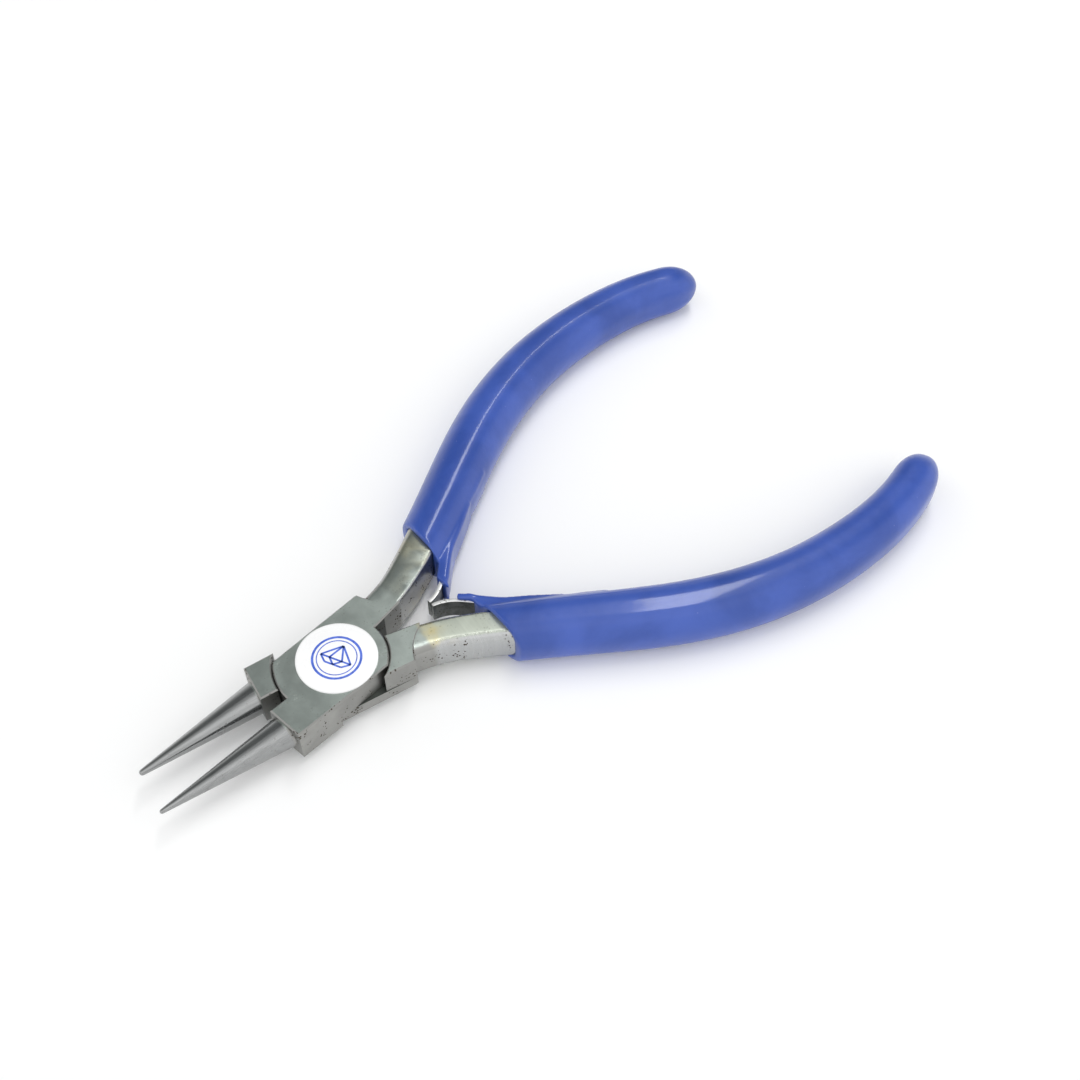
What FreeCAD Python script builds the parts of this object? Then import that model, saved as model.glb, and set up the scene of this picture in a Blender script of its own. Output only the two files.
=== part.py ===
"""Round nose pliers for jewellery work: a riveted lap joint, two cone jaws, two leaf springs and dipped grips.

Millimetres, +Z up. The origin is on the pivot axis at the underside of the joint, and +X points at the jaw tips.
Each half is drawn with the jaws shut, jaw on +Y and handle on -Y, then turned about the pivot to the rest pose,
in which the leaf springs hold the jaws open. The lower half is the same drawing mirrored in Y.
"""

import FreeCAD, Part
import math
import os

V = FreeCAD.Vector
Z = V(0, 0, 1)

# Joint
THICK = 6.4            # thickness of the joint, and of the steel everywhere
MID = THICK / 2
LAP = 2.1              # thickness of the lower half's plate
LAP_GAP = 0.05         # running gap between the two plates
HALF_OPEN = 5.5        # degrees that each half stands open at rest
FRONT_R = 9.4          # round front shoulder of the upper plate
LOWER_FRONT_R = 7.6    # round front shoulder of the lower plate
REAR_R = 7.6           # round rear shoulder of each plate
SEAM = 0.12            # gap at the round shoulders
JAW_SIDE = 6.1         # from the middle to the side of the joint, on the jaw's side
NECK_SIDE = 6.75       # the same on the handle's side, at the rear corner
BLOCK_IN_X = 12.4      # front face of the joint at its middle
BLOCK_OUT_X = 12.05    # front face of the joint at its side
EDGE = 0.22            # chamfer on the joint's edges

# Jaw cone
UPPER_CONE = 20.2      # length of the upper half's cone
LOWER_CONE = 19.4      # the lower half's is a little shorter and blunter
CONE_BASE_R = 2.5
UPPER_TIP_R = 0.36
LOWER_TIP_R = 0.48
CONE_GAP = 0.03        # from the middle plane to the cone when shut

# Joint rivet
RIVET_R = 2.4
RIVET_HEAD_R = 3.2
RIVET_HEAD_H = 0.9
RIVET_RUN = 0.04       # running clearance in the lower half
LABEL_R = 6.05
LABEL_H = 0.15

# Handle: middle line with the jaws shut, from the joint to the end
LINE = [(-8.9, 3.2), (-13.2, 3.8), (-17.0, 5.05), (-21.4, 6.95), (-29.4, 10.75), (-38.5, 15.4), (-48.0, 19.9),
        (-58.0, 23.2), (-68.0, 24.8), (-78.0, 24.75), (-87.5, 23.3), (-94.5, 20.9), (-99.9, 17.8)]
TANG_END = 2.6         # vinyl beyond the end of the steel
TANG_HALF = 2.4        # half width of the shank at the neck
TANG_SWELL = 1.0       # more half width in the middle of the handle
UPPER_SHANK = (MID - 0.03, 1.2, 0.35)  # half height at the neck, and outer and inner corner radius
LOWER_SHANK = (MID - 0.16, 1.7, 0.8)   # stands a step below the joint's faces
TANG_ROUND = 2.1       # corner radius of the tang inside the grip
TANG_RISE = 0.3        # more half height of the tang inside the grip
TANG_NOSE = 3.0        # length of its round end
SWELL_FROM = 0.08      # the swelling has begun by this much at the joint
NECK_RUN = 26.0        # length over which the shank widens
NECK_EASE = (12.0, 30.0)  # lengths between which its section changes from the neck's to the tang's
GRIP_HALF = 3.4        # half width of the grip at its ends
GRIP_SWELL = 1.35
GRIP_RISE = 4.2        # half height of the grip at its ends
GRIP_RISE_SWELL = 0.4
GRIP_START = 8.0       # the grip's form starts here along the middle line, before its front is cut
GRIP_ROUND = 0.86      # corner radius of the grip's section at its ends, as a share of its half width
GRIP_ROUND_SWELL = 0.1
GRIP_FRONT_X = -22.3   # front edge of the grips at rest
GRIP_FLAT = 0.03       # the round end stops this short of its point
GRIP_NOSE = 6.0        # length of the round end of the grip

# Leaf spring: middle line at rest, from the free tip to the root on the handle
LEAF = [(-16.9, 0.42), (-20.0, 1.75), (-22.6, 4.3), (-25.2, 6.9), (-28.6, 9.25)]
LEAF_W = 3.6
LEAF_T = 0.6
LEAF_AT = 24.5         # where its root starts, as a length along the handle's middle line
LEAF_ROOT = 7.0        # length that lies flat on the handle
PIN_R = 1.1            # rivet that holds the leaf
PIN_HEAD_R = 1.6
PIN_HEAD_H = 0.35
PIN_DEPTH = 3.2
COVER_T = 0.7          # vinyl on the back of the leaf
COVER_START = 3.9      # bare length of the leaf at its tip
COVER_LAP = 0.5        # how far the vinyl runs over the leaf's root
COVER_EDGE = 0.55      # how far the vinyl stands past the leaf's edges


def wire2d(start, parts):
    """A closed wire at z = 0 from a start point, then points (lines) or pairs of points (arcs)."""
    edges = []
    here = V(*start, 0)
    for part in parts + [start]:
        if isinstance(part[0], tuple):
            middle, end = V(*part[0], 0), V(*part[1], 0)
            edges.append(Part.Arc(here, middle, end).toShape())
        else:
            end = V(*part, 0)
            if end.distanceToPoint(here) > 1e-6:
                edges.append(Part.LineSegment(here, end).toShape())
        here = end
    return Part.Wire(edges)


def slab(wire, low, high):
    return Part.Face(wire).extrude(V(0, 0, high - low)).translated(V(0, 0, low))


def on_circle(radius, y, side):
    """The point of a circle about the pivot at height y, on the +X (side 1) or -X (side -1) half."""
    return (side * math.sqrt(radius ** 2 - y ** 2), y)


def on_arc(radius, degrees):
    return (radius * math.cos(math.radians(degrees)), radius * math.sin(math.radians(degrees)))


def chamfer_rim(solid, level):
    """Break the outer edges that lie at one level."""
    rim = []
    for edge in solid.Edges:
        box = edge.BoundBox
        if abs(box.ZMin - level) < 1e-6 and abs(box.ZMax - level) < 1e-6:
            rim.append(edge)
    return solid.makeChamfer(EDGE, rim)


def front_block(radius):
    """Full height block that carries the cone, cut round at the back for the other half's plate."""
    inner = on_circle(radius, CONE_GAP, 1)
    outer = on_circle(radius, JAW_SIDE, 1)
    return wire2d(inner, [(BLOCK_IN_X, CONE_GAP), (BLOCK_OUT_X, JAW_SIDE), outer, (on_arc(radius, 20), inner)])


def rear_block():
    """Full height root of the handle, cut round at the front and slanting back along the neck."""
    radius = REAR_R + SEAM
    inner = on_circle(radius, -0.3, -1)
    outer = on_circle(radius, -6.45, -1)
    return wire2d(inner, [(-13.3, -1.15), (-12.9, -2.0), ((-10.8, -3.9), (-9.4, -NECK_SIDE + 0.1)),
                          (-9.0, -NECK_SIDE), outer, (on_arc(radius, 210), inner)])


def plate(radius):
    """The plate that laps over the other half, between its two round shoulders."""
    front_in = on_circle(radius, CONE_GAP, 1)
    front_out = on_circle(radius, -6.2, 1)
    rear_in = on_circle(REAR_R, -0.3, -1)
    rear_out = on_circle(REAR_R, JAW_SIDE, -1)
    return wire2d(rear_out, [(BLOCK_IN_X - 1.2, JAW_SIDE), (BLOCK_IN_X - 1.2, CONE_GAP), front_in,
                             (on_arc(radius, -20), front_out), (-9.0, -NECK_SIDE), (-9.0, -0.55),
                             rear_in, (on_arc(REAR_R, 155), rear_out)])


def cone(length, tip_r):
    """Tapered round jaw with a round tip, whose inner line lies along the middle plane when shut."""
    lean = math.asin((CONE_BASE_R - tip_r) / length)
    root = 1.2
    reach = length - tip_r
    back_r = CONE_BASE_R + root * math.tan(lean)
    profile = [V(-root, 0, 0), V(-root, back_r, 0)]
    for degrees in (0, 30, 60, 90):
        angle = math.radians(degrees)
        profile.append(V(reach + tip_r * math.sin(angle), tip_r * math.cos(angle), 0))
    solid = Part.Face(Part.makePolygon(profile + profile[:1])).revolve(V(0, 0, 0), V(1, 0, 0), 360)
    solid.rotate(V(0, 0, 0), Z, -math.degrees(lean))
    return solid.translated(V(BLOCK_IN_X - 0.15, CONE_BASE_R + CONE_GAP, MID))


def rivet_profile(grow):
    """Half section of the joint rivet, flush at both faces; grow is the clearance of a hole for it."""
    shaft, head = RIVET_R + grow, RIVET_HEAD_R + grow
    return [V(0, 0, 0), V(head, 0, 0), V(shaft, 0, RIVET_HEAD_H), V(shaft, 0, THICK - RIVET_HEAD_H),
            V(head, 0, THICK), V(0, 0, THICK)]


def turned(profile):
    return Part.Face(Part.makePolygon(profile + profile[:1])).revolve(V(0, 0, 0), Z, 360)


def middle_line():
    """The handle's middle line, on -Y, with the jaws shut."""
    curve = Part.BSplineCurve()
    curve.interpolate([V(x, -y, 0) for x, y in LINE])
    return curve


def section(curve, length, half, rise, round_out, round_in):
    """Rounded rectangle square to the middle line, at a length along it."""
    u = curve.parameterAtDistance(length, curve.FirstParameter)
    point = curve.value(u)
    ahead = curve.tangent(u)[0]
    out = ahead.cross(Z)
    if out.y > 0:
        out = out * -1
    corners = [(1, -1, round_out), (1, 1, round_out), (-1, 1, round_in), (-1, -1, round_in)]
    loop = []
    for side, level, radius in corners:
        centre = point + out * (side * (half - radius)) + Z * (MID + level * (rise - radius))
        along = centre + out * (side * radius)
        over = centre + Z * (level * radius)
        corner = centre + out * (side * radius * 0.70711) + Z * (level * radius * 0.70711)
        ends = (over, corner, along) if side * level < 0 else (along, corner, over)
        loop.append(ends)
    edges = []
    for k, ends in enumerate(loop):
        edges.append(Part.Arc(*ends).toShape())
        edges.append(Part.LineSegment(ends[2], loop[(k + 1) % 4][0]).toShape())
    return Part.Wire(edges)


def swell(length, total):
    """0 at the handle's end, 1 near its middle."""
    return math.sin(math.pi * min(1.0, length / total * (1 - SWELL_FROM) + SWELL_FROM))


def shank_half(length, total):
    """Half width of the steel at a length along the handle."""
    return TANG_HALF + TANG_SWELL * swell(length, total) * min(1.0, length / NECK_RUN)


def nose(length, total, reach):
    """Rounds the end of a handle: 1 until its last stretch, then down to a small flat."""
    left = max(0.0, 1 - (total - length) / reach)
    return math.sqrt(max(0.0, 1 - left ** 2))


def tang(neck_rise, neck_out, neck_in):
    """Forged steel from the joint to inside the end of the grip."""
    curve = middle_line()
    total = curve.length() - TANG_END
    steps = 18
    even = 12
    wires = []
    for k in range(steps + 1):
        if k > even:
            length = total * math.sin(math.pi / 2 * k / steps)
        else:
            length = total * k / steps * 0.99
        end = max(0.12, nose(length, total, TANG_NOSE))
        inside = min(1.0, max(0.0, (length - NECK_EASE[0]) / (NECK_EASE[1] - NECK_EASE[0])))
        half = shank_half(length, total) * end
        rise = (neck_rise + TANG_RISE * inside) * end
        round_out = neck_out + (TANG_ROUND - neck_out) * inside
        round_in = neck_in + (TANG_ROUND - neck_in) * inside
        wires.append(section(curve, length, half, rise, round_out * end, round_in * end))
    return Part.makeLoft(wires, True, False)


def grip_body():
    """Outer form of the dipped grip, without the hollow for the handle."""
    curve = middle_line()
    total = curve.length() - GRIP_FLAT
    steps = 26
    wires = []
    for k in range(steps + 1):
        length = GRIP_START + (total - GRIP_START) * math.sin(math.pi / 2 * k / steps)
        grow = swell(length, total)
        end = max(0.1, nose(length, total, GRIP_NOSE))
        half = (GRIP_HALF + GRIP_SWELL * grow) * end
        rise = (GRIP_RISE + GRIP_RISE_SWELL * grow) * end
        corner = min(half, rise) * (GRIP_ROUND + GRIP_ROUND_SWELL * grow)
        wires.append(section(curve, length, half, rise, corner, corner))
    return Part.makeLoft(wires, True, False)


def steel_half(plate_low, plate_high, plate_r, facing_r, jaw, shank):
    """One forged half: front block with its cone, lap plate, neck and tang."""
    front = slab(front_block(facing_r + SEAM), 0, THICK)
    rear = slab(rear_block(), 0, THICK)
    lap = slab(plate(plate_r), plate_low, plate_high)
    for level in (0, THICK):
        front = chamfer_rim(front, level)
        rear = chamfer_rim(rear, level)
    lap = chamfer_rim(lap, plate_low if plate_low == 0 else plate_high)
    return front.multiFuse([rear, lap, jaw, tang(*shank)]).removeSplitter()


def inner_side(length, depth):
    """A point at a depth off the handle's inner face, at a length along the middle line, with its outward axis."""
    curve = middle_line()
    point = curve.value(curve.parameterAtDistance(length, curve.FirstParameter))
    ahead = curve.tangent(curve.parameterAtDistance(length, curve.FirstParameter))[0]
    inward = Z.cross(ahead)
    if inward.y < 0:
        inward = inward * -1
    return point + inward * (shank_half(length, curve.length() - TANG_END) + depth), inward


def leaf_line():
    """Middle line of the leaf, on -Y with the jaws shut, from its free tip to the end of its root."""
    turn = FreeCAD.Rotation(Z, -HALF_OPEN)
    points = [turn.multVec(V(x, -y, 0)) for x, y in LEAF]
    for k in range(3):
        points.append(inner_side(LEAF_AT + LEAF_ROOT * k / 2, LEAF_T / 2)[0])
    curve = Part.BSplineCurve()
    curve.interpolate(points)
    return curve


def strip(curve, start, end, near, far, low, high):
    """A band beside a line, between two lengths along it and two distances off it."""
    steps = 24
    sides = ([], [])
    for k in range(steps + 1):
        length = start + (end - start) * k / steps
        u = curve.parameterAtDistance(length, curve.FirstParameter)
        back = curve.tangent(u)[0].cross(Z)
        if back.x > 0:
            back = back * -1
        for points, distance in zip(sides, (near, far)):
            points.append(curve.value(u) + back * distance)
    edges = []
    for points in (sides[0], sides[1][::-1]):
        side = Part.BSplineCurve()
        side.interpolate(points)
        edges.append(side.toShape())
    edges.insert(1, Part.LineSegment(sides[0][-1], sides[1][-1]).toShape())
    edges.append(Part.LineSegment(sides[1][0], sides[0][0]).toShape())
    return slab(Part.Wire(edges), low, high)


def spring_pin():
    """Rivet through the leaf's root into the handle, with a round head on the leaf's back."""
    on_leaf, inward = inner_side(LEAF_AT + LEAF_ROOT / 2, LEAF_T)
    on_leaf = on_leaf + Z * MID
    shank = Part.makeCylinder(PIN_R, PIN_DEPTH + LEAF_T, on_leaf - inward * (PIN_DEPTH + LEAF_T), inward)
    head = Part.makeCylinder(PIN_HEAD_R, PIN_HEAD_H, on_leaf, inward)
    return shank.fuse(head).removeSplitter()


def open_out(shape):
    return shape.rotated(V(0, 0, 0), Z, HALF_OPEN)


def handle_pieces(half):
    """Leaf, its rivet, grip and the vinyl on the leaf, all at rest on the -Y side, and the half cut for the rivet."""
    line = leaf_line()
    pin = open_out(spring_pin())
    half = half.cut(pin)
    leaf = open_out(strip(line, 0, line.length(), -LEAF_T / 2, LEAF_T / 2, MID - LEAF_W / 2, MID + LEAF_W / 2))
    leaf = leaf.cut(pin).cut(half)
    ahead = Part.makeBox(40, 80, 40, V(GRIP_FRONT_X, -60, -10))
    grip = open_out(grip_body()).cut(ahead)
    wide = LEAF_W / 2 + COVER_EDGE
    root = line.length() - LEAF_ROOT + COVER_LAP
    cover = open_out(strip(line, COVER_START, root, 0, LEAF_T / 2 + COVER_T, MID - wide, MID + wide))
    cover = cover.cut(grip).cut(half).cut(leaf).cut(pin)
    grip = grip.cut(half).cut(leaf).cut(pin)
    return half, {"leaf_spring": leaf, "spring_rivet": pin, "grip": grip, "spring_cover": cover}


def main():
    os.makedirs("parts", exist_ok=True)
    rivet = turned(rivet_profile(0))
    upper_cone = cone(UPPER_CONE, UPPER_TIP_R)
    lower_cone = cone(LOWER_CONE, LOWER_TIP_R)
    upper = steel_half(LAP + LAP_GAP, THICK, FRONT_R, LOWER_FRONT_R, upper_cone, UPPER_SHANK)
    lower = steel_half(0, LAP, LOWER_FRONT_R, FRONT_R, lower_cone, LOWER_SHANK)
    upper = open_out(upper).cut(rivet)
    lower = open_out(lower)
    nodes = {}
    for name, half in (("upper", upper), ("lower", lower)):
        half, pieces = handle_pieces(half)
        pieces["half"] = half
        for piece, shape in pieces.items():
            if name == "lower":
                shape = shape.mirror(V(0, 0, 0), V(0, 1, 0))
            nodes[name + "_" + piece] = shape
    nodes["lower_half"] = nodes["lower_half"].cut(turned(rivet_profile(RIVET_RUN)))
    nodes["joint_rivet"] = rivet
    nodes["label_disc"] = Part.makeCylinder(LABEL_R, LABEL_H, V(0, 0, THICK))
    for name, shape in nodes.items():
        shape.exportStep("parts/" + name + ".step")
        print(name, len(shape.Solids), shape.isValid(), round(shape.Volume, 1))


main()
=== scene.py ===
"""Round nose pliers for jewellery work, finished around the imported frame."""

import math

import bpy
from mathutils import Matrix, Vector


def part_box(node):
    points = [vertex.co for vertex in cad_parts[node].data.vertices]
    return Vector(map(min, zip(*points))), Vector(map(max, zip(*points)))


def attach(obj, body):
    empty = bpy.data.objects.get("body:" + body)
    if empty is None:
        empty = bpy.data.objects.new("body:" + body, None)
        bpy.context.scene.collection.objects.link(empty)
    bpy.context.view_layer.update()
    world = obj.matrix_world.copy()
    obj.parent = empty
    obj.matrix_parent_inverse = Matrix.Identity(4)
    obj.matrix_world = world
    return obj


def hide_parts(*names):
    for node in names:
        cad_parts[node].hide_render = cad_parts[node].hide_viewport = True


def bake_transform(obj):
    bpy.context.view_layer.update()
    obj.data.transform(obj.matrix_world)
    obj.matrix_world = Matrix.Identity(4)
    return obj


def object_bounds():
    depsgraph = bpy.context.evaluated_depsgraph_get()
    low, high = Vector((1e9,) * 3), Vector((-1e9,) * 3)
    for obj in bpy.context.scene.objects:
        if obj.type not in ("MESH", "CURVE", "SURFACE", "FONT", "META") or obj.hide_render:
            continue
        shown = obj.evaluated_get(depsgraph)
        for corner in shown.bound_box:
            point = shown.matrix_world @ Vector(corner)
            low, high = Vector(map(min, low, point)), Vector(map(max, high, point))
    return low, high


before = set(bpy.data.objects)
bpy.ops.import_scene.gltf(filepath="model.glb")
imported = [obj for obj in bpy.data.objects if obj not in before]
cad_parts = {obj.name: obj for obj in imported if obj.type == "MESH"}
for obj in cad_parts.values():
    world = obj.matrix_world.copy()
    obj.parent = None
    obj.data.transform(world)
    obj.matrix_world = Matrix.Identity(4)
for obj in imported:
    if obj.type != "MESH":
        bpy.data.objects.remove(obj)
FRAME_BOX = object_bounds()

bl_info = {
    "name": "Round Nose Pliers",
    "version": (1, 0, 0),
    "blender": (4, 5, 0),
    "location": "3D View > Sidebar > Pliers",
    "description": "Builds the steel, springs, vinyl grips and label of a pair of round nose pliers",
    "category": "Object",
}

MM = 0.001

# Places on a half, in millimetres from the pivot: where a zone starts to change and where it has changed.
CONE_FOOT = (12.25, 12.6)
SHANK_STEP = (12.6, 13.6)
LAP_ROUND = (9.55, 9.75)
LAP_SIDE = (5.7, 5.9)
LAP_LOW, LAP_HIGH = (1.7, 2.0), (2.3, 2.5)

# The stage, in metres.
MIDDLE = (-0.038, 0.0, 0.003)
TUBE_WAY, TUBE_DISTANCE, TUBE_SIZE = (-0.357, -0.119, 1.0), 0.62, (0.5, 0.085)
FILL_WAY, FILL_DISTANCE, FILL_SIZE = (0.1, 0.3, 1.0), 0.8, (0.9, 0.9)
LIGHTS_ALONG = (0.59, 0.807, 0.0)
DIM_WAY, DIM_SPREAD = (-0.385, -0.47, 0.795), (0.45, 0.92)
CAMERA_PLACE, CAMERA_AIM = (0.04751, 0.10453, 0.17928), (-0.0382, 0.0001, 0.0032)
SIDES = ("upper", "lower")


# ---------------------------------------------------------------- sizes and colours

class PliersSizes(bpy.types.PropertyGroup):
    half_open: bpy.props.FloatProperty(
        name="Half opening", description="Angle that each half stands open at rest",
        default=math.radians(5.5), subtype="ANGLE")
    smooth_below: bpy.props.FloatProperty(
        name="Smooth below", description="Steel faces that meet at less than this angle are shaded smooth",
        default=math.radians(28), subtype="ANGLE")
    vinyl_grain: bpy.props.FloatProperty(
        name="Vinyl detail", description="Spacing of the points of the vinyl skin",
        default=0.27 * MM, unit="LENGTH", precision=5)
    vinyl_softness: bpy.props.IntProperty(
        name="Vinyl softness", description="How far the dip has rounded the corners of the skin", default=12)
    vinyl_overlap: bpy.props.FloatProperty(
        name="Vinyl overlap", description="How far the vinyl of the leaf runs into that of the handle",
        default=0.08 * MM, unit="LENGTH", precision=5)
    leaf_edge: bpy.props.FloatProperty(
        name="Leaf edge", description="Rounding of the leaf springs' cut edges",
        default=0.07 * MM, unit="LENGTH", precision=5)
    label_edge: bpy.props.FloatProperty(
        name="Label edge", description="Rounding of the label's rim",
        default=0.05 * MM, unit="LENGTH", precision=5)
    print_radius: bpy.props.FloatProperty(
        name="Print radius", description="Outer radius of the ring printed on the label",
        default=3.75 * MM, unit="LENGTH", precision=5)
    print_line: bpy.props.FloatProperty(
        name="Print line", description="Width of the printed lines", default=0.36 * MM, unit="LENGTH", precision=5)
    print_height: bpy.props.FloatProperty(
        name="Print height", description="Thickness of the ink", default=0.015 * MM, unit="LENGTH", precision=6)
    upper_wrap: bpy.props.FloatProperty(
        name="Upper wrap", description="The vinyl goes all round the upper leaf from this far behind the pivot",
        default=20.9 * MM, unit="LENGTH", precision=5)
    lower_wrap: bpy.props.FloatProperty(
        name="Lower wrap", description="The vinyl goes all round the lower leaf from this far behind the pivot",
        default=22.6 * MM, unit="LENGTH", precision=5)
    wrap_thickness: bpy.props.FloatProperty(
        name="Wrap thickness", description="Vinyl on the edges and face of a leaf where it is wrapped",
        default=0.55 * MM, unit="LENGTH", precision=5)
    tube_power: bpy.props.FloatProperty(name="Tube light", description="Power of the tube light in watts", default=1.5)
    fill_power: bpy.props.FloatProperty(name="Fill light", description="Power of the large light in watts", default=0.6)
    lens: bpy.props.FloatProperty(
        name="Lens", description="Focal length of the camera in millimetres", default=46.86)


def colour(name, text, value):
    return bpy.props.FloatVectorProperty(
        name=name, description=text, subtype="COLOR", size=4, min=0.0, max=1.0, default=value + (1.0,))


class PliersColours(bpy.types.PropertyGroup):
    flat_steel: colour("Flat faces", "Ground faces of the joint", (0.36, 0.40, 0.375))
    wall_steel: colour("Side walls", "Sawn and filed sides of the joint", (0.36, 0.36, 0.345))
    bright_steel: colour("Bright steel", "Polished cones, shank and broken edges", (0.52, 0.53, 0.53))
    tarnish: colour("Tarnish", "Yellowed steel beside the step of the lower shank", (0.58, 0.52, 0.30))
    # Painted shade: a dark colour laid where shade falls in the gap between the two plates.
    painted_gap_shade: colour("Gap shade", "Painted shade between the two plates", (0.05, 0.055, 0.05))
    pit: colour("Pits", "Dark pits and rust specks", (0.09, 0.075, 0.06))
    leaf_steel: colour("Leaf steel", "Blued faces of the leaf springs", (0.13, 0.135, 0.13))
    vinyl: colour("Vinyl", "Dipped grips", (0.030, 0.079, 0.372))
    label: colour("Label", "Glossy paper of the label", (0.98, 0.98, 0.98))
    ink: colour("Ink", "Print on the label", (0.05, 0.12, 0.56))
    floor: colour("Floor", "Pale floor", (0.97, 0.97, 0.97))


# ---------------------------------------------------------------- node helpers

def add(tree, kind, inputs=None, **settings):
    """A node with its settings, and its sockets joined to other sockets or set to values."""
    made = tree.nodes.new(kind)
    for name, value in settings.items():
        setattr(made, name, value)
    for name, value in (inputs or {}).items():
        if isinstance(value, bpy.types.NodeSocket):
            tree.links.new(value, made.inputs[name])
        else:
            made.inputs[name].default_value = value
    return made


def sums(tree, operation, a, b=0.0, clamp=False):
    return add(tree, "ShaderNodeMath", {0: a, 1: b}, operation=operation, use_clamp=clamp).outputs[0]


def both(tree, a, b):
    """The product of two shares."""
    return sums(tree, "MULTIPLY", a, b)


def without(tree, share):
    """What is left of 1 beside a share."""
    return sums(tree, "SUBTRACT", 1.0, share)


def ease(tree, value, start, end):
    """0 before start, 1 after end, smooth between them."""
    return add(tree, "ShaderNodeMapRange", {"Value": value, "From Min": start, "From Max": end},
               interpolation_type="SMOOTHSTEP").outputs["Result"]


def mix(tree, share, a, b):
    return add(tree, "ShaderNodeMix", {0: share, 2: a, 3: b}).outputs[0]


def tint(tree, share, a, b):
    return add(tree, "ShaderNodeMix", {0: share, 6: a, 7: b}, data_type="RGBA").outputs[2]


def stretch(tree, vector, scale, turn=(0.0, 0.0, 0.0)):
    return add(tree, "ShaderNodeMapping", {"Vector": vector, "Scale": scale, "Rotation": turn}).outputs[0]


def toned(colour, factor):
    """A colour made darker or lighter by a factor."""
    return [c * factor for c in colour[:3]] + [1.0]


def in_millimetres(tree, place):
    return stretch(tree, place.outputs["Object"], (1000.0, 1000.0, 1000.0))


def effect(name, inputs, output):
    """An empty shader node group with named inputs and one output."""
    group = bpy.data.node_groups.new(name, "ShaderNodeTree")
    for label, kind, value in inputs:
        socket = group.interface.new_socket(label, in_out="INPUT", socket_type=kind)
        if value is not None:
            socket.default_value = value
    group.interface.new_socket(output, in_out="OUTPUT", socket_type="NodeSocketFloat")
    return group, group.nodes.new("NodeGroupInput"), group.nodes.new("NodeGroupOutput")


def make_grinding():
    """Fine parallel marks of uneven strength; the vector is stretched along the marks."""
    group, given, result = effect("grinding marks", [
        ("Vector", "NodeSocketVector", None), ("Fineness", "NodeSocketFloat", 3.0)], "Marks")
    fine = add(group, "ShaderNodeTexNoise", {
        "Vector": given.outputs["Vector"], "Scale": given.outputs["Fineness"], "Detail": 4.0, "Roughness": 0.62})
    third = sums(group, "MULTIPLY", given.outputs["Fineness"], 0.31)
    broad = add(group, "ShaderNodeTexNoise", {
        "Vector": given.outputs["Vector"], "Scale": third, "Detail": 2.0, "Roughness": 0.5})
    group.links.new(mix(group, 0.4, fine.outputs["Fac"], broad.outputs["Fac"]), result.inputs["Marks"])
    return group


def make_pitting():
    """Scattered small pits, gathered in patches."""
    group, given, result = effect("pitting", [
        ("Vector", "NodeSocketVector", None), ("Spacing", "NodeSocketFloat", 1.6),
        ("Amount", "NodeSocketFloat", 0.5)], "Pits")
    cells = add(group, "ShaderNodeTexVoronoi", {
        "Vector": given.outputs["Vector"], "Scale": given.outputs["Spacing"], "Randomness": 1.0})
    patches = add(group, "ShaderNodeTexNoise", {
        "Vector": given.outputs["Vector"], "Scale": 0.45, "Detail": 3.0, "Roughness": 0.6})
    reach = sums(group, "MULTIPLY", ease(group, patches.outputs["Fac"], 0.4, 0.68), given.outputs["Amount"])
    inside = sums(group, "SUBTRACT", reach, cells.outputs["Distance"])
    group.links.new(ease(group, inside, 0.0, 0.09), result.inputs["Pits"])
    return group


def make_smudging():
    """Slow cloudy change over a surface, such as handling marks and uneven dip."""
    group, given, result = effect("smudging", [
        ("Vector", "NodeSocketVector", None), ("Spread", "NodeSocketFloat", 0.2)], "Smudges")
    cloud = add(group, "ShaderNodeTexNoise", {
        "Vector": given.outputs["Vector"], "Scale": given.outputs["Spread"], "Detail": 5.0, "Roughness": 0.55,
        "Distortion": 0.4})
    group.links.new(ease(group, cloud.outputs["Fac"], 0.3, 0.7), result.inputs["Smudges"])
    return group


def use(tree, name, **inputs):
    """The output of a shared effect, placed in a material with its own values."""
    placed = add(tree, "ShaderNodeGroup", node_tree=bpy.data.node_groups[name])
    for label, value in inputs.items():
        if isinstance(value, bpy.types.NodeSocket):
            tree.links.new(value, placed.inputs[label])
        else:
            placed.inputs[label].default_value = value
    return placed.outputs[0]


def material(name):
    """A new material with only its shader, and a texture coordinate node for its object coordinates."""
    made = bpy.data.materials.new(name)
    made.use_nodes = True
    tree = made.node_tree
    shader = tree.nodes["Principled BSDF"]
    place = add(tree, "ShaderNodeTexCoord")
    return made, tree, shader, place


def bump(tree, height, depth, strength=1.0, under=None):
    inputs = {"Height": height, "Distance": depth, "Strength": strength}
    if under is not None:
        inputs["Normal"] = under
    return add(tree, "ShaderNodeBump", inputs).outputs[0]


# ---------------------------------------------------------------- finishes

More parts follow.
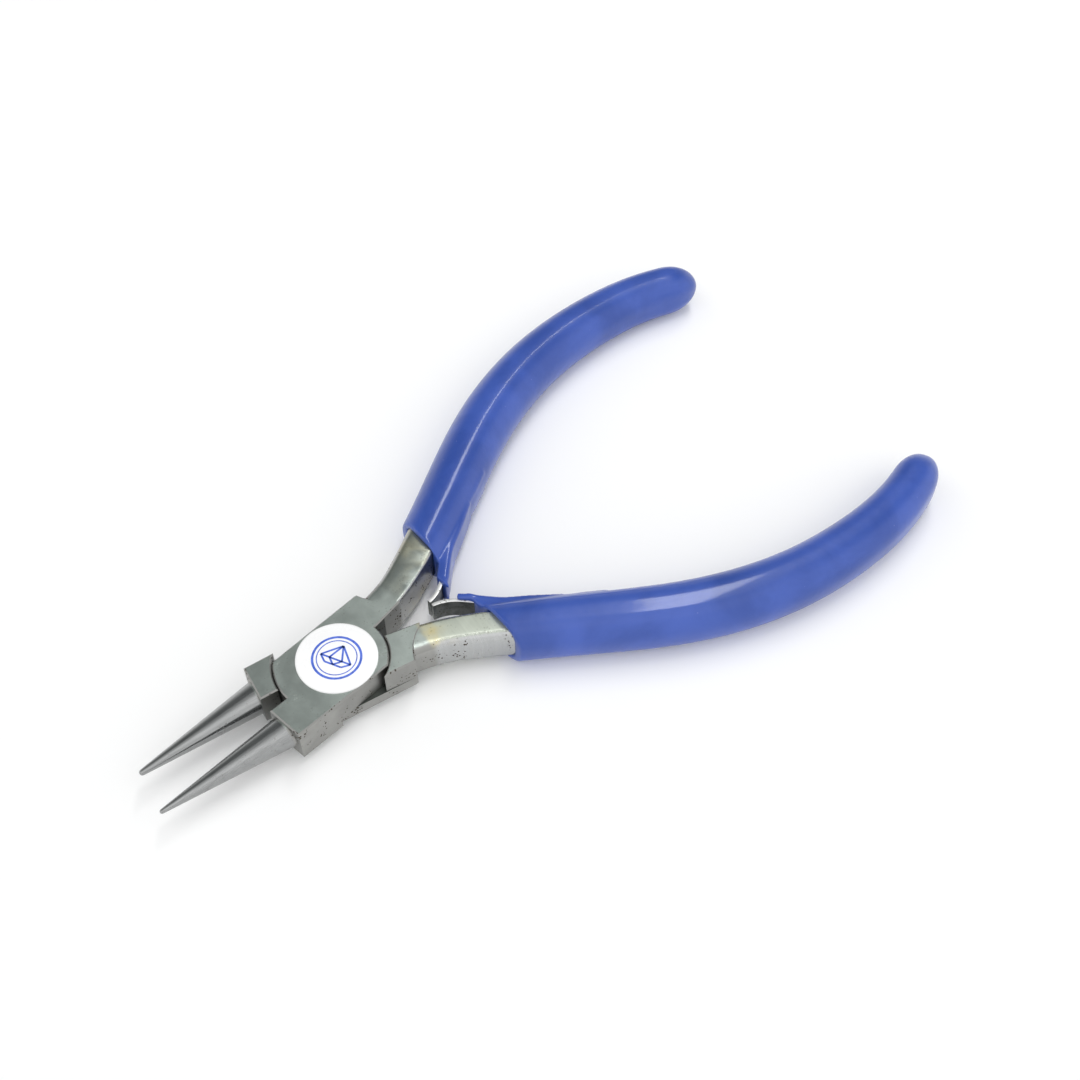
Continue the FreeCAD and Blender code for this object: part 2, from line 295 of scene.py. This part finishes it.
def forged_steel(side, sizes, colours):
    """Ground flats, filed walls, bright edges, polished cone and shank, each in its own place on one half, and painted
    shade in the gap between the two plates.
    """
    made, tree, shader, place = material(side + "_forged_steel")
    mirror = 1.0 if side == "upper" else -1.0
    here = add(tree, "ShaderNodeMapping", {
        "Vector": place.outputs["Object"], "Scale": (1000.0, 1000.0 * mirror, 1000.0),
        "Rotation": (0.0, 0.0, -sizes.half_open)}).outputs[0]
    axis = add(tree, "ShaderNodeSeparateXYZ", {0: here})
    facing = add(tree, "ShaderNodeSeparateXYZ", {0: place.outputs["Normal"]})
    level = sums(tree, "ABSOLUTE", facing.outputs["Z"])
    x, y = axis.outputs["X"], axis.outputs["Y"]

    flat = ease(tree, level, 0.86, 0.98)
    cone = ease(tree, x, *CONE_FOOT)
    back = both(tree, x, -1.0)
    shank = ease(tree, back, *SHANK_STEP)
    slope = both(tree, ease(tree, level, 0.5, 0.62), without(tree, ease(tree, level, 0.8, 0.92)))
    plain = sums(tree, "SUBTRACT", 1.0, sums(tree, "ADD", cone, shank), clamp=True)
    edge = both(tree, slope, plain)

    along = use(tree, "grinding marks", Vector=stretch(tree, here, (0.10, 2.2, 2.2)), Fineness=2.4)
    across = use(tree, "grinding marks", Vector=stretch(tree, here, (2.4, 0.12, 0.12), (0.0, 0.0, 0.45)), Fineness=2.2)
    satin = use(tree, "grinding marks", Vector=stretch(tree, here, (1.0, 2.2, 1.0), (0.0, 0.0, 0.5)), Fineness=3.2)
    clouds = use(tree, "smudging", Vector=here, Spread=0.22)
    pits = use(tree, "pitting", Vector=here, Spacing=2.1, Amount=0.42)

    walls = tint(tree, clouds, colours.wall_steel, toned(colours.wall_steel, 0.8))
    flats = tint(tree, clouds, colours.flat_steel, toned(colours.flat_steel, 1.35))
    body = tint(tree, flat, walls, flats)
    polished = tint(tree, across if side == "lower" else satin, toned(colours.bright_steel, 0.72),
                    colours.bright_steel)
    if side == "lower":
        blasted = tint(tree, across, (0.44, 0.47, 0.41, 1.0), (0.60, 0.64, 0.56, 1.0))
        shank_colour = tint(tree, flat, polished, blasted)
        near_step = both(tree, ease(tree, back, 12.2, 13.0),
                         without(tree, ease(tree, back, 14.2, 17.5)))
        yellow = both(tree, near_step, both(tree, clouds, ease(tree, facing.outputs["Z"], 0.4, 0.9)))
    else:
        satin_flats = tint(tree, clouds, toned(colours.flat_steel, 0.8), colours.flat_steel)
        shank_colour = tint(tree, flat, polished, satin_flats)
        near_step = both(tree, ease(tree, back, 12.0, 19.0), 0.45)
        yellow = both(tree, near_step, clouds)
    body = tint(tree, shank, body, shank_colour)
    cones = tint(tree, along, toned(colours.bright_steel, 0.38),
                 toned(colours.bright_steel, 0.85))
    body = tint(tree, cone, body, cones)
    body = tint(tree, edge, body, toned(colours.wall_steel, 0.8))
    body = tint(tree, yellow, body, colours.tarnish)
    # Painted shade: the flat faces at the height of the lap and the walls by the round end of the lap are darkened
    # where shade falls between the two plates.
    reach = add(tree, "ShaderNodeVectorMath", {0: stretch(tree, here, (1.0, 1.0, 0.0))}, operation="LENGTH")
    height = axis.outputs["Z"]
    between = both(tree, ease(tree, height, *LAP_LOW), without(tree, ease(tree, height, *LAP_HIGH)))
    low_faces = both(tree, both(tree, between, flat), without(tree, cone))
    seam = both(tree, without(tree, ease(tree, reach.outputs["Value"], *LAP_ROUND)),
                without(tree, ease(tree, level, 0.1, 0.3)))
    edge_on = without(tree, ease(tree, sums(tree, "ABSOLUTE", y), *LAP_SIDE))
    gap_shade_mask = sums(tree, "MAXIMUM", low_faces, both(tree, seam, edge_on))
    body = tint(tree, both(tree, gap_shade_mask, 0.85), body, colours.painted_gap_shade)
    rusting = both(tree, pits, without(tree, both(tree, cone, 0.75)))
    shown = both(tree, rusting, without(tree, both(tree, flat, 0.8)))
    tree.links.new(tint(tree, shown, body, colours.pit), shader.inputs["Base Color"])

    rough = mix(tree, flat, mix(tree, satin, 0.34, 0.48), mix(tree, satin, 0.30, 0.42))
    if side == "lower":
        shank_rough = mix(tree, ease(tree, level, 0.97, 0.998), mix(tree, across, 0.2, 0.32), 0.55)
    else:
        shank_rough = mix(tree, satin, 0.3, 0.42)
    rough = mix(tree, shank, rough, shank_rough)
    rough = mix(tree, cone, rough, mix(tree, along, 0.12, 0.24))
    rough = mix(tree, edge, rough, 0.36)
    rough = mix(tree, shown, rough, 0.7)
    tree.links.new(rough, shader.inputs["Roughness"])
    shader.inputs["Metallic"].default_value = 1.0

    marks = mix(tree, cone, mix(tree, shank, satin, across), along)
    lines = bump(tree, marks, 0.006 * MM)
    dents = without(tree, both(tree, shown, 0.8))
    tree.links.new(bump(tree, dents, 0.02 * MM, under=lines), shader.inputs["Normal"])
    return made


def leaf_steel(colours):
    """Dark rolled faces with bare sheared edges, whose near-white colour is also a painted highlight."""
    made, tree, shader, place = material("leaf_steel")
    here = in_millimetres(tree, place)
    facing = add(tree, "ShaderNodeSeparateXYZ", {0: place.outputs["Normal"]})
    cut = ease(tree, sums(tree, "ABSOLUTE", facing.outputs["Z"]), 0.35, 0.7)
    rolled = use(tree, "grinding marks", Vector=stretch(tree, here, (0.5, 0.5, 3.0)), Fineness=2.0)
    clouds = use(tree, "smudging", Vector=here, Spread=0.5)
    pits = use(tree, "pitting", Vector=here, Spacing=2.6, Amount=0.36)
    faces = tint(tree, clouds, colours.leaf_steel, toned(colours.leaf_steel, 1.9))
    # Painted highlight: the sheared edges are bare steel, made near white so that they shine whatever the light.
    body = tint(tree, cut, faces, tint(tree, rolled, colours.bright_steel, (0.95, 0.95, 0.93, 1.0)))
    tree.links.new(tint(tree, both(tree, pits, 0.7), body, colours.pit), shader.inputs["Base Color"])
    tree.links.new(mix(tree, cut, mix(tree, rolled, 0.3, 0.46), 0.5), shader.inputs["Roughness"])
    shader.inputs["Metallic"].default_value = 1.0
    tree.links.new(bump(tree, rolled, 0.015 * MM), shader.inputs["Normal"])
    return made


def rivet_steel(colours):
    """Turned and filed rivet steel, with rings about the pivot."""
    made, tree, shader, place = material("rivet_steel")
    here = in_millimetres(tree, place)
    rings = add(tree, "ShaderNodeTexWave", {
        "Vector": here, "Scale": 1.4, "Distortion": 1.2, "Detail": 2.0, "Detail Scale": 1.5},
        wave_type="RINGS", rings_direction="Z").outputs["Fac"]
    clouds = use(tree, "smudging", Vector=here, Spread=0.5)
    pits = use(tree, "pitting", Vector=here, Spacing=1.8, Amount=0.3)
    body = tint(tree, rings, colours.wall_steel, toned(colours.wall_steel, 0.86))
    body = tint(tree, both(tree, clouds, 0.5), body, colours.flat_steel)
    tree.links.new(tint(tree, pits, body, colours.pit), shader.inputs["Base Color"])
    tree.links.new(mix(tree, clouds, 0.26, 0.42), shader.inputs["Roughness"])
    shader.inputs["Metallic"].default_value = 1.0
    tree.links.new(bump(tree, rings, 0.008 * MM), shader.inputs["Normal"])
    return made


def dipped_vinyl(colours):
    """Glossy dipped vinyl: slight orange peel, cloudy depth of colour, a few specks in the skin."""
    made, tree, shader, place = material("dipped_vinyl")
    here = in_millimetres(tree, place)
    clouds = use(tree, "smudging", Vector=here, Spread=0.09)
    peel = add(tree, "ShaderNodeTexNoise", {"Vector": here, "Scale": 0.9, "Detail": 2.0, "Roughness": 0.4})
    rubbed = use(tree, "grinding marks", Vector=stretch(tree, here, (0.25, 0.6, 1.4)), Fineness=2.0)
    specks = use(tree, "pitting", Vector=here, Spacing=0.75, Amount=0.09)
    deep = toned(colours.vinyl, 0.86)
    pale = [min(1.0, c * 1.12 + 0.012) for c in colours.vinyl[:3]] + [1.0]
    body = tint(tree, clouds, deep, pale)
    body = tint(tree, both(tree, specks, 0.5), body, [0.35, 0.4, 0.72, 1.0])
    tree.links.new(body, shader.inputs["Base Color"])
    tree.links.new(mix(tree, rubbed, 0.28, 0.40), shader.inputs["Roughness"])
    shader.inputs["Specular IOR Level"].default_value = 0.3
    shader.inputs["Coat Weight"].default_value = 0.42
    shader.inputs["Coat Roughness"].default_value = 0.08
    shader.inputs["Subsurface Weight"].default_value = 0.08
    shader.inputs["Subsurface Radius"].default_value = (0.4, 0.5, 1.0)
    shader.inputs["Subsurface Scale"].default_value = 0.6 * MM
    soft = bump(tree, peel.outputs["Fac"], 0.05 * MM, 0.5)
    tree.links.new(bump(tree, specks, 0.03 * MM, under=soft), shader.inputs["Normal"])
    return made


def label_paper(colours):
    """Glossy white paper, faintly uneven, with painted shade greying its rim."""
    made, tree, shader, place = material("label_paper")
    here = in_millimetres(tree, place)
    flat_place = stretch(tree, here, (1.0, 1.0, 0.0))
    radius = add(tree, "ShaderNodeVectorMath", {0: flat_place}, operation="LENGTH").outputs["Value"]
    clouds = use(tree, "smudging", Vector=here, Spread=0.3)
    fibres = use(tree, "grinding marks", Vector=here, Fineness=6.0)
    white = tint(tree, clouds, colours.label, toned(colours.label, 0.96))
    # Painted shade: the rim of the label is greyed as if shaded at its edge.
    rim = both(tree, ease(tree, radius, 5.75, 6.05), 0.35)
    tree.links.new(tint(tree, rim, white, [0.55, 0.56, 0.56, 1.0]), shader.inputs["Base Color"])
    tree.links.new(mix(tree, clouds, 0.22, 0.32), shader.inputs["Roughness"])
    tree.links.new(bump(tree, fibres, 0.006 * MM), shader.inputs["Normal"])
    return made


def printed_ink(colours):
    """Screen printed ink, a little thin in places."""
    made, tree, shader, place = material("printed_ink")
    here = in_millimetres(tree, place)
    thin = use(tree, "smudging", Vector=here, Spread=1.6)
    body = tint(tree, thin, colours.ink, [min(1.0, c * 1.25 + 0.05) for c in colours.ink[:3]] + [1.0])
    tree.links.new(body, shader.inputs["Base Color"])
    tree.links.new(mix(tree, thin, 0.3, 0.42), shader.inputs["Roughness"])
    return made


def plain_floor(colours):
    made, tree, shader, place = material("pale_floor")
    clouds = use(tree, "smudging", Vector=place.outputs["Object"], Spread=3.0)
    shaded = toned(colours.floor, 0.985)
    tree.links.new(tint(tree, clouds, colours.floor, shaded), shader.inputs["Base Color"])
    shader.inputs["Roughness"].default_value = 0.85
    return made


# ---------------------------------------------------------------- mesh helpers

def leave_all():
    if bpy.context.mode != "OBJECT":
        bpy.ops.object.mode_set(mode="OBJECT")
    bpy.ops.object.select_all(action="DESELECT")


def pick(*objects):
    leave_all()
    for item in objects:
        item.select_set(True)
    bpy.context.view_layer.objects.active = objects[0]


def copy_of(node, name):
    """A copy of a frame node as a closed mesh of its own."""
    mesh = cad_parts[node].data.copy()
    piece = bpy.data.objects.new(name, mesh)
    bpy.context.scene.collection.objects.link(piece)
    pick(piece)
    bpy.ops.object.mode_set(mode="EDIT")
    bpy.ops.mesh.select_all(action="SELECT")
    if mesh.has_custom_normals:
        bpy.ops.mesh.customdata_custom_splitnormals_clear()
    bpy.ops.mesh.remove_doubles(threshold=0.0005 * MM)
    bpy.ops.object.mode_set(mode="OBJECT")
    return piece


def finish_with(piece, kind, **settings):
    """Add a modifier with its settings and apply it."""
    pick(piece)
    modifier = piece.modifiers.new(kind.lower(), kind)
    for name, value in settings.items():
        setattr(modifier, name, value)
    bpy.ops.object.modifier_apply(modifier=modifier.name)


def dress(piece, finish):
    """Give a piece one material."""
    piece.data.materials.clear()
    piece.data.materials.append(finish)


def smooth(piece, angle):
    pick(piece)
    bpy.ops.object.shade_smooth_by_angle(angle=angle)


def spring_line(side):
    """A line on the middle plane from the leaf's root on the handle to twice the way to its tip."""
    low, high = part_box(side + "_leaf_spring")
    root = Vector((-28.6 * MM, low.y if side == "upper" else high.y, 0.0))
    root.y *= 0.86
    tip = Vector((high.x, 0.0, 0.0))
    return root, root + (tip - root) * 2


def bend_with_spring(piece, side):
    start, end = spring_line(side)
    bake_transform(piece)


# ---------------------------------------------------------------- operators

class PLIERS_OT_effects(bpy.types.Operator):
    """Build the shared surface effects: grinding marks, pitting and smudging"""
    bl_idname = "pliers.effects"
    bl_label = "Surface Effects"

    def execute(self, context):
        for make in (make_grinding, make_pitting, make_smudging):
            make()
        return {"FINISHED"}


class PLIERS_OT_halves(bpy.types.Operator):
    """Build the two forged halves, each with its cone, lap plate and shank"""
    bl_idname = "pliers.halves"
    bl_label = "Forged Halves"

    def execute(self, context):
        sizes, colours = context.scene.pliers_sizes, context.scene.pliers_colours
        for side in SIDES:
            half = copy_of(side + "_half", side + "_forging")
            smooth(half, sizes.smooth_below)
            dress(half, forged_steel(side, sizes, colours))
            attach(half, side)
            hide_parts(side + "_half")
        return {"FINISHED"}


class PLIERS_OT_rivets(bpy.types.Operator):
    """Finish the joint rivet and the two rivets of the leaf springs"""
    bl_idname = "pliers.rivets"
    bl_label = "Rivets"

    def execute(self, context):
        finish = rivet_steel(context.scene.pliers_colours)
        for node in ("joint_rivet", "upper_spring_rivet", "lower_spring_rivet"):
            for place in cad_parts[node].material_slots:
                place.material = finish
        return {"FINISHED"}


class PLIERS_OT_springs(bpy.types.Operator):
    """Build the two leaf springs that hold the handles apart"""
    bl_idname = "pliers.springs"
    bl_label = "Leaf Springs"

    def execute(self, context):
        sizes, finish = context.scene.pliers_sizes, leaf_steel(context.scene.pliers_colours)
        for side in SIDES:
            leaf = copy_of(side + "_leaf_spring", side + "_leaf")
            finish_with(leaf, "BEVEL", width=sizes.leaf_edge, segments=2, limit_method="ANGLE",
                        angle_limit=math.radians(50), use_clamp_overlap=True)
            smooth(leaf, math.radians(40))
            dress(leaf, finish)
            bend_with_spring(leaf, side)
            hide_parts(side + "_leaf_spring")
        return {"FINISHED"}


class PLIERS_OT_grips(bpy.types.Operator):
    """Build the dipped vinyl skins, each over a handle and the back of its leaf"""
    bl_idname = "pliers.grips"
    bl_label = "Dipped Grips"

    def execute(self, context):
        sizes, finish = context.scene.pliers_sizes, dipped_vinyl(context.scene.pliers_colours)
        for side in SIDES:
            cover = copy_of(side + "_spring_cover", side + "_cover")
            bpy.ops.object.mode_set(mode="EDIT")
            bpy.ops.mesh.select_all(action="SELECT")
            bpy.ops.transform.shrink_fatten(value=sizes.vinyl_overlap)
            bpy.ops.object.mode_set(mode="OBJECT")
            wrap = copy_of(side + "_leaf_spring", side + "_wrap")
            front = sizes.upper_wrap if side == "upper" else sizes.lower_wrap
            bpy.ops.object.mode_set(mode="EDIT")
            bpy.ops.mesh.select_all(action="SELECT")
            bpy.ops.mesh.bisect(plane_co=(-front, 0.0, 0.0), plane_no=(1.0, 0.0, 0.0), use_fill=True,
                                clear_outer=True)
            bpy.ops.mesh.select_all(action="SELECT")
            bpy.ops.mesh.normals_make_consistent(inside=False)
            bpy.ops.transform.shrink_fatten(value=sizes.wrap_thickness, use_even_offset=True)
            bpy.ops.object.mode_set(mode="OBJECT")
            skin = copy_of(side + "_grip", side + "_vinyl_grip")
            pick(skin, cover, wrap)
            bpy.ops.object.join()
            finish_with(skin, "REMESH", mode="VOXEL", voxel_size=sizes.vinyl_grain, use_smooth_shade=True)
            finish_with(skin, "SMOOTH", factor=0.5, iterations=sizes.vinyl_softness)
            dress(skin, finish)
            bend_with_spring(skin, side)
            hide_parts(side + "_grip", side + "_spring_cover")
        return {"FINISHED"}


def raise_print(height):
    """Give a flat print its thickness, upwards from the label."""
    bpy.ops.mesh.select_all(action="SELECT")
    bpy.ops.mesh.extrude_region_move(TRANSFORM_OT_translate={"value": (0.0, 0.0, height)})
    bpy.ops.mesh.select_all(action="SELECT")
    bpy.ops.mesh.normals_make_consistent(inside=False)
    bpy.ops.object.mode_set(mode="OBJECT")


def outline(name, sides, radius, line, place):
    """A closed printed line: a round or many-sided loop with an inner edge."""
    leave_all()
    bpy.ops.mesh.primitive_circle_add(vertices=sides, radius=radius, location=place, fill_type="NGON")
    piece = bpy.context.object
    piece.name = name
    bpy.ops.object.transform_apply(location=True, rotation=True, scale=True)
    bpy.ops.object.mode_set(mode="EDIT")
    bpy.ops.mesh.select_all(action="SELECT")
    bpy.ops.mesh.inset(thickness=line, use_even_offset=True)
    bpy.ops.mesh.delete(type="FACE")
    return piece


def stroke(name, start, end, line, place):
    """A straight printed line between two points."""
    run = Vector(end) - Vector(start)
    middle = (Vector(start) + Vector(end)) / 2
    leave_all()
    bpy.ops.mesh.primitive_plane_add(size=1.0, location=(place[0] + middle.x, place[1] + middle.y, place[2]),
                                     rotation=(0, 0, math.atan2(run.y, run.x)))
    piece = bpy.context.object
    piece.name = name
    piece.scale = (run.length, line, 1.0)
    bpy.ops.object.transform_apply(location=True, rotation=True, scale=True)
    bpy.ops.object.mode_set(mode="EDIT")
    return piece


class PLIERS_OT_label(bpy.types.Operator):
    """Build the round label with a plain ring and a cut stone printed on it"""
    bl_idname = "pliers.label"
    bl_label = "Label"

    def execute(self, context):
        sizes, colours = context.scene.pliers_sizes, context.scene.pliers_colours
        disc = copy_of("label_disc", "label")
        finish_with(disc, "BEVEL", width=sizes.label_edge, segments=3, limit_method="ANGLE",
                    angle_limit=math.radians(60))
        smooth(disc, math.radians(35))
        dress(disc, label_paper(colours))
        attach(disc, "upper")
        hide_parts("label_disc")

        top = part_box("label_disc")[1].z
        place = (0.0, 0.0, top - 0.002 * MM)
        line, height = sizes.print_line, sizes.print_height
        ink = printed_ink(colours)
        parts = [outline("print", 96, sizes.print_radius, line, place)]
        raise_print(height)
        parts.append(outline("print_inner", 96, sizes.print_radius - 2 * line, line * 0.45, place))
        raise_print(height)
        turn = math.radians(-62)
        wide, crown, point = 2.45 * MM, 1.25 * MM, 2.2 * MM
        half_table = wide * 0.55
        stone = [(-wide, crown * 0.25), (-half_table, crown), (half_table, crown), (wide, crown * 0.25), (0.0, -point)]
        runs = [(stone[k], stone[(k + 1) % 5]) for k in range(5)]
        runs.append((stone[0], stone[3]))
        for x in (-0.42, 0.42):
            runs.append(((x * wide, crown * 0.25), stone[4]))
            runs.append(((x * wide, crown * 0.25), (0.0, crown)))
        for start, end in runs:
            ends = []
            for px, py in (start, end):
                ends.append((px * math.cos(turn) - py * math.sin(turn), px * math.sin(turn) + py * math.cos(turn), 0.0))
            parts.append(stroke("print_line", ends[0], ends[1], line * 0.8, place))
            raise_print(height)
        pick(*parts)
        bpy.ops.object.join()
        mark = parts[0]
        mark.name = "label_print"
        dress(mark, ink)
        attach(mark, "upper")
        return {"FINISHED"}


def soft_light(name, place, aim, size, along, power):
    """A rectangular light that faces a point, with its long side in a given direction."""
    leave_all()
    back = (place - aim).normalized()
    across = (along - back * along.dot(back)).normalized()
    turn = Matrix((across, back.cross(across), back)).transposed()
    bpy.ops.object.light_add(type="AREA", location=place, rotation=turn.to_euler())
    light = bpy.context.object
    light.name = name
    light.data.shape = "RECTANGLE"
    light.data.size, light.data.size_y = size
    light.data.energy = power


class PLIERS_OT_stage(bpy.types.Operator):
    """Set the pale floor, soft lights, surroundings and camera"""
    bl_idname = "pliers.stage"
    bl_label = "Stage"

    def execute(self, context):
        sizes, colours = context.scene.pliers_sizes, context.scene.pliers_colours
        rest = FRAME_BOX[0][2]
        leave_all()
        bpy.ops.mesh.primitive_circle_add(vertices=64, radius=3.0, location=(0.0, 0.0, rest), fill_type="NGON")
        floor = bpy.context.object
        floor.name = "floor"
        bpy.ops.object.transform_apply(location=True)
        dress(floor, plain_floor(colours))

        middle = Vector(MIDDLE)
        along = Vector(LIGHTS_ALONG)
        soft_light("tube", middle + Vector(TUBE_WAY) * TUBE_DISTANCE, middle, TUBE_SIZE, along, sizes.tube_power)
        soft_light("fill", middle + Vector(FILL_WAY) * FILL_DISTANCE, middle, FILL_SIZE, along, sizes.fill_power)

        world = bpy.data.worlds.new("studio")
        context.scene.world = world
        world.use_nodes = True
        tree = world.node_tree
        way = add(tree, "ShaderNodeTexCoord").outputs["Generated"]
        toward = add(tree, "ShaderNodeVectorMath", {0: way, 1: DIM_WAY}, operation="DOT_PRODUCT")
        dim = ease(tree, toward.outputs["Value"], *DIM_SPREAD)
        room = tint(tree, dim, (1.12, 1.12, 1.12, 1.0), (0.2, 0.21, 0.21, 1.0))
        seen = add(tree, "ShaderNodeLightPath").outputs["Is Camera Ray"]
        tree.links.new(tint(tree, seen, room, (1.0, 1.0, 1.0, 1.0)), tree.nodes["Background"].inputs["Color"])

        place, aim = Vector(CAMERA_PLACE), Vector(CAMERA_AIM)
        bpy.ops.object.camera_add(location=place, rotation=(aim - place).to_track_quat("-Z", "Y").to_euler())
        camera = bpy.context.object
        camera.data.lens = sizes.lens
        camera.data.sensor_width = 36.0
        camera.data.clip_start = 0.005
        context.scene.camera = camera
        context.scene.view_settings.view_transform = "Standard"
        return {"FINISHED"}


class PLIERS_PT_panel(bpy.types.Panel):
    """Sizes, colours and builders of the pliers"""
    bl_idname = "PLIERS_PT_panel"
    bl_label = "Round Nose Pliers"
    bl_space_type = "VIEW_3D"
    bl_region_type = "UI"
    bl_category = "Pliers"

    def draw(self, context):
        column = self.layout.column()
        for group in (context.scene.pliers_sizes, context.scene.pliers_colours):
            for name in group.__annotations__:
                column.prop(group, name)
        for operator in OPERATORS:
            column.operator(operator.bl_idname)


OPERATORS = (PLIERS_OT_effects, PLIERS_OT_halves, PLIERS_OT_rivets, PLIERS_OT_springs, PLIERS_OT_grips,
             PLIERS_OT_label, PLIERS_OT_stage)
CLASSES = (PliersSizes, PliersColours) + OPERATORS + (PLIERS_PT_panel,)


def register():
    for item in CLASSES:
        bpy.utils.register_class(item)
    bpy.types.Scene.pliers_sizes = bpy.props.PointerProperty(type=PliersSizes)
    bpy.types.Scene.pliers_colours = bpy.props.PointerProperty(type=PliersColours)


def unregister():
    del bpy.types.Scene.pliers_colours
    del bpy.types.Scene.pliers_sizes
    for item in reversed(CLASSES):
        bpy.utils.unregister_class(item)


def main():
    register()
    bpy.ops.pliers.effects()
    bpy.ops.pliers.halves()
    bpy.ops.pliers.rivets()
    bpy.ops.pliers.springs()
    bpy.ops.pliers.grips()
    bpy.ops.pliers.label()
    bpy.ops.pliers.stage()
    leave_all()


if __name__ == "__main__":
    main()
